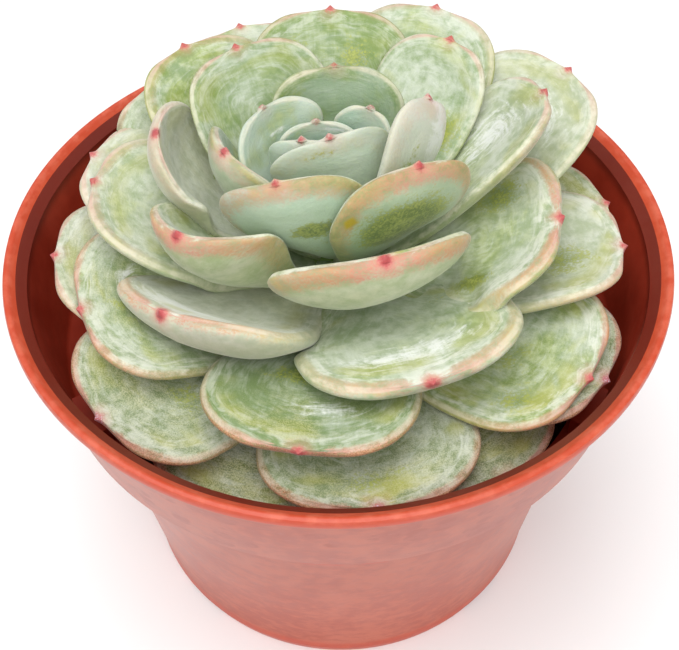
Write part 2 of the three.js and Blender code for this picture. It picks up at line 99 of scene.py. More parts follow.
# Marks on single leaves: kind, face (1 upper, -1 under), place across (-1 to 1) and along (0 to 1),
# half sizes across and along in millimetres, and strength.
MARKS = {
    1: [("chalk", 1, -0.5, 0.92, 2.5, 0.7, 1.2)],
    3: [("rub", -1, -0.2, 0.9, 5, 0.9, 0.55)],
    5: [("chalk", 1, -0.5, 0.55, 0.8, 4, 1.3), ("chalk", 1, -0.1, 0.8, 2.4, 0.6, 1.2)],
    6: [("chalk", -1, 0.4, 0.8, 4, 8, 1.2), ("rub", -1, -0.4, 0.7, 2.4, 4, 0.6)],
    7: [("rub", -1, 0.25, 0.66, 3.4, 1.9, 1.4), ("rub", -1, 0.1, 0.45, 4, 1.2, 0.8)],
    8: [("rub", 1, 0.7, 0.8, 3, 3, 0.6)],
    9: [("rub", -1, -0.1, 0.66, 6, 4, 1.5), ("rub", -1, 0, 0.7, 10, 7, 0.45),
        ("scar", -1, -0.85, 0.74, 1.2, 1.6, 1.0)],
    15: [("rub", 1, -0.5, 0.6, 5, 5, 0.9)],
    16: [("chalk", 1, 0.1, 0.75, 5, 9, 1.0)],
    17: [("rub", 1, -0.3, 0.8, 4, 4, 0.8), ("rub", 1, 0.5, 0.85, 3, 3, 0.6)],
    18: [("chalk", 1, 0.1, 0.88, 13, 3, 1.9)],
    19: [("chalk", 1, 0.0, 0.82, 11, 3.5, 1.1), ("rub", 1, 0.5, 0.5, 3, 3, 0.6)],
    20: [("rub", 1, 0.5, 0.72, 4, 5, 0.9), ("rub", 1, -0.6, 0.62, 1.6, 4, 1.2)],
    24: [("chalk", 1, 0.0, 0.8, 10, 6, 0.8)],
    25: [("rub", 1, 0.0, 0.62, 8, 2.5, 1.1), ("chalk", 1, 0.2, 0.8, 6, 2, 0.9)],
    26: [("rub", 1, 0.0, 0.7, 5, 8, 0.9), ("chalk", 1, -0.4, 0.8, 3, 3, 0.9)],
    29: [("rub", 1, -0.2, 0.8, 5, 6, 0.8)],
    30: [("rub", 1, -0.1, 0.72, 2, 3.5, 1.2), ("rub", 1, -0.6, 0.85, 4, 4, 0.8)],
    33: [("rub", 1, 0.3, 0.72, 5, 3, 0.8)],
    34: [("rub", 1, 0.0, 0.92, 9, 3, 0.7)],
}

# How dull and granular the skin of the older leaves has become, from 0 to 1.
WEAR = {25: 0.55, 26: 0.35, 30: 0.2, 31: 0.25, 32: 0.3, 33: 0.7, 34: 0.7, 35: 0.35, 36: 0.85, 37: 1, 38: 1,
        39: 0.6, 40: 0.5, 41: 0.7, 42: 0.8, 43: 0.9, 44: 0.9}

# How far a leaf's skin turns to olive green, about 0 to 1, and how much paler (up to 1) or deeper
# (down to -1) it is. Both are partly the leaf's own tint and partly painted light and shade: the paler
# numbers paint light on some leaves in the rosette's hollows, the deeper and olive ones paint shade.
LEAF_TINT_AND_SHADING = {3: (0, 0.4), 5: (0, 0.2), 6: (0.3, 0.9), 7: (0.7, 0), 8: (0.8, -0.8), 9: (1.2, -0.2), 11: (0.3, 0),
          12: (0.3, -0.6), 13: (0.4, 0.1), 14: (0.2, 0.8), 16: (0.2, 0.3), 17: (1, -0.6), 18: (0, 0.8),
          19: (0, 0.15), 20: (0.5, 0.2), 21: (0, 0.3), 22: (0.7, 0), 23: (0.3, -0.1), 24: (0, 0.5),
          25: (0.2, -1), 26: (0.4, 0), 27: (0, 0.8),
          28: (0.3, 0.2), 29: (0.2, 0.5), 30: (0.6, 0), 31: (0.2, 0.2), 32: (0, 0.5), 35: (0.3, 0.2)}

# How much stronger or weaker than usual the margin of a leaf is coloured.
RIPE = {7: 1.8, 9: 1.3, 19: 0.65, 25: 0.8}


def mm(*values):
    return Vector(values) * MM


def tone(red, green, blue):
    """A colour in the 0 to 255 numbers of a paint chart, as the shader wants it."""
    def linear(value):
        share = value / 255
        return share / 12.92 if share <= 0.04045 else ((share + 0.055) / 1.055) ** 2.4
    return (linear(red), linear(green), linear(blue), 1)


def smooth(value, low, high):
    share = min(max((value - low) / (high - low), 0), 1)
    return share * share * (3 - 2 * share)


def mix(low, high, share):
    return low + (high - low) * share


# Materials.
class Link:
    """A node's output. Sums written on it add Math nodes."""

    def __init__(self, finish, socket):
        self.finish = finish
        self.socket = socket

    def math(self, operation, *values):
        return self.finish.node("ShaderNodeMath", {"operation": operation}, dict(enumerate(values)))

    def __add__(self, other):
        return self.math("ADD", self, other)

    def __sub__(self, other):
        return self.math("SUBTRACT", self, other)

    def __mul__(self, other):
        return self.math("MULTIPLY", self, other)

    def __rsub__(self, other):
        return self.math("SUBTRACT", other, self)

    def __neg__(self):
        return self.math("MULTIPLY", self, -1)

    def __abs__(self):
        return self.math("ABSOLUTE", self)

    __radd__ = __add__
    __rmul__ = __mul__

    def ramp(self, low, high):
        """0 at low and 1 at high, with a soft start and end."""
        return self.finish.node(
            "ShaderNodeMapRange", {"interpolation_type": "SMOOTHSTEP"},
            {"Value": self, "From Min": low, "From Max": high})


class Finish:
    """A material whose constant values are set at once and whose patterns are linked later."""

    def __init__(self, name, **constants):
        self.material = bpy.data.materials.new(name)
        self.material.use_nodes = True
        self.tree = self.material.node_tree
        self.shader = self.tree.nodes["Principled BSDF"]
        for socket, value in constants.items():
            self.shader.inputs[socket.replace("_", " ")].default_value = value

    def node(self, kind, settings=None, inputs=None, output=0):
        node = self.tree.nodes.new(kind)
        for key, value in (settings or {}).items():
            setattr(node, key, value)
        for key, value in (inputs or {}).items():
            if isinstance(value, Link):
                self.tree.links.new(value.socket, node.inputs[key])
            else:
                node.inputs[key].default_value = value
        return Link(self, node.outputs[output])

    def blend(self, share, low, high):
        return self.node("ShaderNodeMix", {"data_type": "RGBA"}, {0: share, 6: low, 7: high}, 2)

    def noise(self, place, scale, detail=2, roughness=0.5, distortion=0.0):
        return self.node("ShaderNodeTexNoise", None, {
            "Vector": place, "Scale": scale, "Detail": detail, "Roughness": roughness,
            "Distortion": distortion})

    def stretched(self, place, *factors):
        return self.node("ShaderNodeVectorMath", {"operation": "MULTIPLY"}, {0: place, 1: factors})

    def vector(self, *values):
        return self.node("ShaderNodeCombineXYZ", None, dict(enumerate(values)))

    def attribute(self, name):
        return self.node("ShaderNodeAttribute", {"attribute_name": name}, None, 1)

    def parts(self, vector):
        node = self.tree.nodes.new("ShaderNodeSeparateXYZ")
        self.tree.links.new(vector.socket, node.inputs[0])
        return [Link(self, node.outputs[i]) for i in range(3)]

    def place(self):
        """The piece's own coordinates, in millimetres."""
        here = self.node("ShaderNodeTexCoord", None, None, 3)
        return self.stretched(here, 1000, 1000, 1000)

    def bump(self, height, distance, strength=1.0):
        values = {"Strength": strength, "Distance": distance, "Height": height}
        self.feed("Normal", self.node("ShaderNodeBump", None, values))

    def feed(self, socket, value):
        self.tree.links.new(value.socket, self.shader.inputs[socket])


def leaf_finish():
    """Waxy bloom over green flesh, with the marks, the blushing margin and the red tip."""
    f = Finish("leaf_bloom", Subsurface_Weight=0.1, Subsurface_Radius=(0.9, 1.0, 0.5), Subsurface_Scale=0.003,
               Specular_IOR_Level=0.35, Sheen_Weight=0.25, Sheen_Roughness=0.4)
    place = f.attribute("place")
    x, y, depth = f.parts(place)
    margin, tip, wear = f.parts(f.attribute("edge"))
    rub, chalk, blush = f.parts(f.attribute("marks"))
    youth, olive, paleness_and_painted_shading = f.parts(f.attribute("growth_and_shading"))
    scar, inset, _ = f.parts(f.attribute("scar"))

    grain = f.noise(place, 2.6, 3, 0.6)
    sand = f.noise(place, 5, 2, 0.7)
    mottle = f.noise(place, 0.55, 4, 0.6)
    cloud = f.noise(place, 0.12, 3, 0.5)
    drift = f.noise(f.stretched(place, 0.1, 0.16, 0.3), 1, 2, 0.5, 0.4)
    veins = f.noise(f.stretched(place, 1.5, 0.3, 0.5), 1, 4, 0.65, 0.8)
    rings = f.noise(f.vector(x * 0.22, y * 0.22, abs(margin) * 0.8 + depth), 1, 4, 0.65, 1.0)
    upper = margin.ramp(0.1, 1.4)
    under = margin.ramp(-1.2, -3)

    colour = f.blend((mottle * 0.6 + cloud * 0.5).ramp(0.42, 0.68), tone(142, 162, 118), tone(190, 200, 176))
    colour = f.blend(youth, colour, f.blend(cloud.ramp(0.35, 0.7), tone(160, 186, 164), tone(190, 208, 192)))
    # Greener and darker towards the leaf's base, far from the tip: painted shade where the leaves overlap in
    # the rosette.
    colour = f.blend((tip + cloud * 9 - 4).ramp(15, 34) * 0.65, colour, tone(120, 150, 78))
    # Olive stains are the leaf's own. The olive numbers that raise them also act partly as painted shade on
    # single leaves.
    stain = (drift + mottle * 0.35 + olive * 0.22).ramp(0.66, 0.88)
    stain_tone = f.blend(mottle.ramp(0.4, 0.62), tone(126, 148, 60), tone(162, 178, 104))
    colour = f.blend(stain * 0.75, colour, stain_tone)
    belly = f.blend((mottle * 0.5 + cloud * 0.6).ramp(0.4, 0.72), tone(164, 180, 130), tone(202, 206, 174))
    belly = f.blend(youth * 0.8, belly, tone(188, 210, 192))
    colour = f.blend(under * 0.85, colour, belly)
    # Paler skin: partly the leaf's own whitish tint and partly painted light on leaves in the rosette's
    # hollows.
    colour = f.blend(paleness_and_painted_shading * (0.4 + mottle * 0.6), colour, tone(216, 214, 200))

    granules = f.blend((sand * 0.8 + mottle * 0.4).ramp(0.46, 0.74), tone(92, 104, 56), tone(176, 178, 148))
    colour = f.blend(wear * (0.55 + cloud * 0.6), colour, granules)

    # Deeper green: painted shade on single leaves.
    colour = f.blend(-paleness_and_painted_shading * 0.75, colour, tone(110, 134, 80))
    ochre = tip.ramp(16, 4) * margin.ramp(0.8, 2.4) * (drift + mottle * 0.5).ramp(0.55, 0.85)
    ochre = ochre * wear.ramp(0.1, 0.5)
    ochre_tone = f.blend(sand.ramp(0.4, 0.62), tone(122, 130, 52), tone(190, 188, 128))
    colour = f.blend(ochre * 0.55, colour, ochre_tone)

    bloom = (rings * 1.1 + veins * 0.4 + mottle * 0.3 + cloud * 0.6).ramp(1.02, 1.62)
    bloom = bloom * upper * (1 - youth * 0.8)
    colour = f.blend(bloom * 0.52, colour, tone(218, 224, 214))
    fleck = (grain * 0.8 + veins * 0.5).ramp(0.52, 0.4) * (1 - youth * 0.7)
    colour = f.blend(fleck * 0.3, colour, tone(122, 140, 70))

    rubbed = (rub + (grain * 0.9 + mottle * 0.9 - 0.9) * 1.3).ramp(0.4, 0.85)
    flesh = f.blend((grain * 0.6 + mottle * 0.4).ramp(0.4, 0.62), tone(98, 116, 28), tone(164, 172, 76))
    colour = f.blend(rubbed * 0.85, colour, flesh)

    chalked = (chalk * 0.8 + rings * 1.8 + veins * 0.4 + grain * 0.5 - 1.4).ramp(0.3, 0.9)
    colour = f.blend(chalked * 0.8, colour, tone(236, 238, 235))

    ragged = margin - inset + (mottle - 0.5) * 1.6 + (grain - 0.5) * 1.2
    gilded = ragged.ramp(0.3, 1.2) * ragged.ramp(4.6, 2) * drift.ramp(0.42, 0.62)
    colour = f.blend(gilded * (0.12 + blush * 0.4), colour, tone(178, 178, 92))
    frost = ragged.ramp(-0.9, -0.2) * ragged.ramp(3, 0.6) * (rings * 0.8 + mottle * 0.4).ramp(0.5, 0.72)
    colour = f.blend(frost * (0.1 + blush * 0.45) * (1 - wear * 0.8), colour, tone(228, 228, 216))
    band = ragged.ramp(-0.1, -0.9) * ragged.ramp(-3.4, -1.9)
    side_tone = f.blend((tip + mottle * 8).ramp(26, 16), tone(184, 172, 86), tone(198, 146, 106))
    ripe = f.blend((tip + mottle * 3).ramp(10, 4), side_tone, tone(204, 136, 118))
    ripe = f.blend(wear, ripe, f.blend(sand.ramp(0.4, 0.6), tone(124, 76, 44), tone(206, 158, 128)))
    patchy = 0.3 + (mottle * 0.6 + grain * 0.6).ramp(0.4, 0.75) * 0.6
    patchy = patchy * (0.35 + (tip + drift * 12).ramp(32, 14) * 0.75)
    colour = f.blend(band * patchy * blush * (1 - youth * 0.3) * (1 + wear * 0.7), colour, ripe)
    lining = ragged.ramp(-1.6, -2.4) * margin.ramp(-0.8, 0)
    colour = f.blend(lining * 0.6, colour, tone(186, 186, 144))

    # A cream line along the very margin: painted highlight on the leaf's rounded edge. The same mask carries
    # the pink edge by the tip, which is the leaf's own colour.
    edge = margin.ramp(0.6, 0.2) * margin.ramp(-0.7, -0.2)
    colour = f.blend(edge * (mottle * 0.7 + drift * 0.5).ramp(0.4, 0.7) * 0.45, colour, tone(232, 226, 206))
    colour = f.blend(edge * (tip + mottle * 6).ramp(15, 6) * (0.5 - youth * 0.4), colour, tone(208, 142, 132))

    halo = (tip + mottle * 3).ramp(4.6, 2.0)
    colour = f.blend(halo * 0.4 * (0.3 + blush * 0.7), colour, tone(220, 146, 134))
    core = (tip + youth * 0.45 + (grain - 0.5) * 1.2 + (veins - 0.5) * 0.6).ramp(1.5, 0.55)
    colour = f.blend(core * 0.85, colour, f.blend(tip.ramp(1.1, 0.4), tone(202, 92, 96), tone(176, 52, 64)))
    crust = core * wear.ramp(0.6, 0.7) * sand.ramp(0.35, 0.6)
    crust_tone = f.blend(sand.ramp(0.5, 0.7), tone(168, 128, 142), tone(238, 232, 238))
    colour = f.blend(crust * 0.85, colour, crust_tone)
    scar_tone = f.blend(scar.ramp(0.9, 1.15), tone(180, 158, 44), tone(80, 52, 24))
    colour = f.blend(scar.ramp(0.3, 0.6), colour, scar_tone)
    f.feed("Base Color", colour)
    f.feed("Roughness", 0.52 + mottle * 0.15 - rubbed * 0.14)
    f.bump(grain * 0.35 + mottle * 0.5 + rings * 0.6, 0.00035, 0.45)
    return f.material


def pot_finish(inside):
    """Thin moulded plastic: clear on the lip and foot, hazed and mottled on the wall between."""
    f = Finish("pot_inside_shaded" if inside else "pot_outside", Specular_IOR_Level=0.5, Subsurface_Weight=0.05,
               Subsurface_Scale=0.002, Sheen_Weight=0.0 if inside else 0.13, Sheen_Roughness=0.35)
    place = f.place()
    across, depth, height = f.parts(place)
    cloud = f.noise(place, 0.09, 3, 0.6)
    fine = f.noise(f.stretched(place, 1, 1, 1.6), 0.4, 4, 0.6)
    streaks = f.noise(f.stretched(place, 0.5, 0.5, 3), 0.8, 3, 0.6)
    if inside:
        # The inner wall is a darker and redder copy of the same plastic: painted shade inside the pot.
        colour = f.blend(cloud.ramp(0.3, 0.7), tone(150, 42, 22), tone(180, 62, 40))
        # Darkest at the top of the inner wall, under the lip: painted shade.
        colour = f.blend(height.ramp(66, 68.3) * 0.9, colour, tone(104, 28, 14))
    else:
        clear = f.blend(fine.ramp(0.4, 0.7), tone(192, 68, 36), tone(200, 79, 46))
        haze = f.blend((fine * 0.6 + cloud * 0.4).ramp(0.38, 0.62), tone(167, 70, 46), tone(188, 96, 71))
        share = height.ramp(68.3, 67.6) * height.ramp(1.5, 6) * (0.6 + cloud * 0.7)
        colour = f.blend(share.ramp(0, 1), clear, haze)
        cells = f.node("ShaderNodeTexVoronoi", {"feature": "SMOOTH_F1"},
                       {"Vector": f.stretched(place, 1, 1, 1.7), "Scale": 0.22, "Smoothness": 0.4}, 0)
        blotch = cells.ramp(0.42, 0.3) * fine.ramp(0.4, 0.55) * height.ramp(66, 61) * height.ramp(44, 54)
        colour = f.blend(blotch * 0.7, colour, tone(160, 66, 46))
        broken = f.noise(f.stretched(place, 0.45, 0.45, 0), 1, 1).ramp(0.52, 0.6) * depth.ramp(-34, -26)
        front = abs(across + 3.2).ramp(3.8, 2.8) + abs(across - 4.7).ramp(2.3, 1.5)
        front = front * depth.ramp(-20, -30)
        dash = abs(height + fine * 0.8 - 42.7).ramp(0.7, 0.25) * (broken + front)
        colour = f.blend(dash * 0.75, colour, tone(190, 66, 38))
        # Pale pink streaks on the outer wall: partly scuffs and partly painted reflection.
        colour = f.blend(streaks.ramp(0.62, 0.78) * 0.25, colour, tone(214, 152, 138))
        colour = f.blend(height.ramp(68.0, 68.5), colour, clear)
    # Patchy paler pink on the top of the rim.
    rim_top_pale = height.ramp(69.3, 69.8) * (fine * 0.6 + streaks * 0.6).ramp(0.5, 0.75)
    colour = f.blend(rim_top_pale * 0.18, colour, tone(226, 140, 118))
    f.feed("Base Color", colour)
    f.feed("Roughness", 0.34 + fine * 0.2)
    f.bump(fine, 0.0001, 0.2)
    return f.material


def soil_finish():
    f = Finish("damp_soil", Specular_IOR_Level=0.3)
    place = f.place()
    grain = f.noise(place, 1.3, 5, 0.65)
    clump = f.noise(place, 0.3, 3, 0.5)
    colour = f.blend(grain.ramp(0.35, 0.7), tone(20, 14, 12), tone(62, 44, 34))
    f.feed("Base Color", f.blend(clump.ramp(0.5, 0.75) * 0.5, colour, tone(84, 58, 44)))
    f.feed("Roughness", 0.75 + grain * 0.2)
    f.bump(grain, 0.0008, 0.8)
    return f.material


def bark_finish():
    f = Finish("bark_chip", Specular_IOR_Level=0.3)
    place = f.place()
    tint, _, _ = f.parts(f.attribute("tint"))
    grain = f.noise(f.stretched(place, 1.2, 1.2, 4), 1, 4, 0.6)
    colour = f.blend(tint, tone(70, 36, 28), tone(132, 84, 66))
    f.feed("Base Color", f.blend(grain.ramp(0.35, 0.65) * 0.6, colour, tone(44, 26, 20)))
    f.feed("Roughness", 0.7 + grain * 0.2)
    f.bump(grain, 0.0005, 0.7)
    return f.material


def stem_finish():
    f = Finish("stem_skin", Specular_IOR_Level=0.35)
    place = f.place()
    _, _, height = f.parts(place)
    grain = f.noise(f.stretched(place, 1, 1, 0.4), 1.2, 4, 0.6)
    green = f.blend(grain, tone(112, 140, 70), tone(150, 172, 104))
    cork = f.blend(grain.ramp(0.35, 0.65), tone(92, 70, 48), tone(138, 112, 82))
    f.feed("Base Color", f.blend(height.ramp(52, 62), cork, green))
    f.feed("Roughness", 0.6 + grain * 0.2)
    f.bump(grain, 0.0004, 0.6)
    return f.material


# Steps of modelling that every piece uses.
def deselect():
    bpy.ops.object.select_all(action="DESELECT")


def pick(piece):
    deselect()
    piece.select_set(True)
    bpy.context.view_layer.objects.active = piece


def edit(piece):
    pick(piece)
    bpy.ops.object.mode_set(mode="EDIT")


def leave():
    bpy.ops.object.mode_set(mode="OBJECT")


def settle(piece):
    """Puts a piece's place into its mesh."""
    pick(piece)
    bpy.ops.object.transform_apply(location=True, rotation=True, scale=True)


def apply_all(piece):
    pick(piece)
    for modifier in list(piece.modifiers):
        bpy.ops.object.modifier_apply(modifier=modifier.name)


def face_out(piece):
    edit(piece)
    bpy.ops.mesh.select_all(action="SELECT")
    bpy.ops.mesh.remove_doubles(threshold=1e-7)
    bpy.ops.mesh.normals_make_consistent(inside=False)
    leave()


def rounded(piece, degrees):
    pick(piece)
    bpy.ops.object.shade_smooth_by_angle(angle=math.radians(degrees))


def dress(piece, material, slot, *nodes):
    piece.data.materials.clear()
    piece.data.materials.append(material)
    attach(piece, "root")
    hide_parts(*nodes)


def turned(name, profile, sides):
    """A ring drawn out and scaled from point to point of a profile of radii and heights, closed at
    both ends."""
    deselect()
    radius, height = profile[0]
    bpy.ops.mesh.primitive_circle_add(
        vertices=sides, radius=radius * MM, fill_type="NGON", location=mm(0, 0, height))
    piece = bpy.context.object
    piece.name = name
    settle(piece)
    edit(piece)
    for (was_radius, was_height), (radius, height) in zip(profile, profile[1:]):
        bpy.ops.mesh.extrude_region_move(TRANSFORM_OT_translate={"value": mm(0, 0, height - was_height)})
        ratio = radius / was_radius
        bpy.ops.transform.resize(value=(ratio, ratio, 1))
    leave()
    return piece


# Leaves: the straight blank's size and section, in the same shares as the part's source.
BLANK_WIDTH, BLANK_LENGTH, BLANK_THICK = 28, 40, 4.2
BLANK_SIDES = 28
NECK_SHARE, WIDEST_AT, APEX_BLUNTNESS = 0.3, 0.66, 3.5
CROWN_SHARE, WIDEST_DEPTH_SHARE, BELLY_BULGE = 0.24, 0.18, 0.8
DROP_SHARE = 1 - CROWN_SHARE - WIDEST_DEPTH_SHARE
MARGIN_ANGLE = math.asin(WIDEST_DEPTH_SHARE / DROP_SHARE)
MARGIN_SHARE = math.cos(MARGIN_ANGLE)
MUCRO_LENGTH, MUCRO_RADIUS = 1, 1.1
BLANK_ROWS = (0.04, 0.1, 0.17, 0.25, 0.33, 0.41, 0.49, 0.56, 0.63, 0.69, 0.75, 0.8, 0.845, 0.885, 0.92,
              0.947, 0.967, 0.982, 0.992, 0.998)


def width_share(u):
    if u < WIDEST_AT:
        return NECK_SHARE + (1 - NECK_SHARE) * smooth(u, 0, WIDEST_AT) ** 0.9
    return math.sqrt(max(0, 1 - ((u - WIDEST_AT) / (1 - WIDEST_AT)) ** APEX_BLUNTNESS))


def thick_share(u):
    body = 0.55 + 0.45 * math.sin(math.pi * u / 1.3)
    taper = math.sqrt(max(0, 1 - max(0, (u - 0.6) / 0.4) ** 4))
    return 0.1 + 0.9 * body * taper


def section_point(angle):
    """A point of a leaf's section in shares of the half width and the thickness, by its angle from one
    margin. The upper face is nearly flat, and the belly is widest a little below the margins."""
    if angle >= 0:
        return MARGIN_SHARE * math.cos(angle), CROWN_SHARE * max(math.sin(angle), 0) ** 0.6
    swing = -angle * (1 + 2 * MARGIN_ANGLE / math.pi) - MARGIN_ANGLE
    return math.cos(swing), -WIDEST_DEPTH_SHARE - DROP_SHARE * math.sin(swing)


def leaf_blank():
    """A straight leaf, drawn out ring by ring from its neck along +Y, with its upper face towards +Z."""
    sizes = [(u * BLANK_LENGTH, width_share(u) * BLANK_WIDTH / 2, thick_share(u) * BLANK_THICK)
             for u in (0, *BLANK_ROWS)]
    sizes += [(BLANK_LENGTH, 0.75 * MUCRO_RADIUS, 1.2 * MUCRO_RADIUS),
              (BLANK_LENGTH + 0.4 * MUCRO_LENGTH, 0.34 * MUCRO_RADIUS, 0.6 * MUCRO_RADIUS),
              (BLANK_LENGTH + 0.8 * MUCRO_LENGTH, 0.12 * MUCRO_RADIUS, 0.24 * MUCRO_RADIUS)]
    deselect()
    bpy.ops.mesh.primitive_circle_add(
        vertices=BLANK_SIDES, radius=1, fill_type="NGON", rotation=(math.pi / 2, 0, 0))
    blank = bpy.context.object
    blank.name = "leaf_blank"
    settle(blank)
    edit(blank)
    bpy.ops.transform.resize(value=(sizes[0][1], 1, sizes[0][2]))
    for (was_y, was_half, was_thick), (y, half, thick) in zip(sizes, sizes[1:]):
        bpy.ops.mesh.extrude_region_move(TRANSFORM_OT_translate={"value": (0, y - was_y, 0)})
        bpy.ops.transform.resize(value=(half / was_half, 1, thick / was_thick))
    bpy.ops.mesh.merge(type="CENTER")
    leave()
    for vertex in blank.data.vertices:
        x, y, z = vertex.co
        if math.hypot(x, z) > 0.01:
            _, half, thick = min(sizes, key=lambda size: abs(size[0] - y))
            across, height = section_point(math.atan2(z / thick, x / half))
            vertex.co.x, vertex.co.z = across * half, height * thick
    return blank


class Midrib:
    """The curve that a leaf grows along, from its base on the stem to its tip, and the leaf's frame on it."""

    def __init__(self, row, base):
        azimuth, reach, side, rise, pitch, self.width, self.thick, self.cup, roll = row
        azimuth, pitch, self.roll = (math.radians(v) for v in (azimuth, pitch, roll))
        out = Vector((math.sin(azimuth), -math.cos(azimuth), 0))
        self.across = Vector((math.cos(azimuth), math.sin(azimuth), 0))
        up = Vector((0, 0, 1))
        self.start = out * base[0] + up * base[1]
        tip = out * reach + self.across * side + up * (RIM_Z + rise)
        run = 0.5 * (tip - self.start).length
        self.bend = out * (reach - run * math.cos(pitch)) + up * (RIM_Z + rise - run * math.sin(pitch))
        self.heading = (tip - self.bend).normalized()
        self.apex = tip - self.heading * MUCRO_LENGTH
        points = [self.at(i / 20) for i in range(21)]
        self.length = sum((b - a).length for a, b in zip(points, points[1:]))

    def at(self, u):
        return self.start.lerp(self.bend, u).lerp(self.bend.lerp(self.apex, u), u)

    def frame(self, u):
        along = ((self.bend - self.start).lerp(self.apex - self.bend, u)).normalized()
        flat = (self.across - along * self.across.dot(along)).normalized()
        wide = Matrix.Rotation(self.roll * smooth(u, 0, 0.6), 3, along) @ flat
        return wide, along.cross(wide)


def leaf_base(age):
    share = age / (len(LEAVES) - 1)
    return mix(1.5, 3.5, share), RIM_Z + mix(3, -21, share ** 0.85)


def solid_of(leaf):
    """A grown leaf's corners and skin, for leaves that come to lie against it."""
    points = [vertex.co for vertex in leaf.data.vertices]
    low = Vector(min(point[i] for point in points) for i in range(3))
    high = Vector(max(point[i] for point in points) for i in range(3))
    return low, high, bvhtree.BVHTree.FromPolygons(points, [face.vertices for face in leaf.data.polygons])


def yield_to(leaf, tops, younger):
    """Presses a leaf back where a younger one would stick into its upper face."""
    low, high, _ = solid_of(leaf)
    near = [tree for least, most, tree in younger
            if all(least[i] < high[i] and most[i] > low[i] for i in range(3))]
    above, below = 4 * MM, 2.4 * MM
    push = []
    for top, face, u, _ in tops:
        depth = 0
        for tree in near if u > 0.35 else ():
            reach = 0
            while reach < above + below:
                start = top + face * (above - reach)
                hit, _, _, distance = tree.ray_cast(start, -face, above + below - reach)
                if hit is None:
                    break
                reach += distance + 0.01 * MM
                depth = max(depth, reach - above + 0.12 * MM)
        push.append(depth)
    beside = [[] for _ in push]
    for edge in leaf.data.edges:
        a, b = edge.vertices
        beside[a].append(b)
        beside[b].append(a)
    for _ in range(3):
        push = [max(own, 0.5 * own + 0.5 * sum(push[i] for i in around) / len(around))
                for own, around in zip(push, beside)]
    for vertex, depth, (_, face, _, spare) in zip(leaf.data.vertices, push, tops):
        vertex.co -= face * max(0, depth - spare)


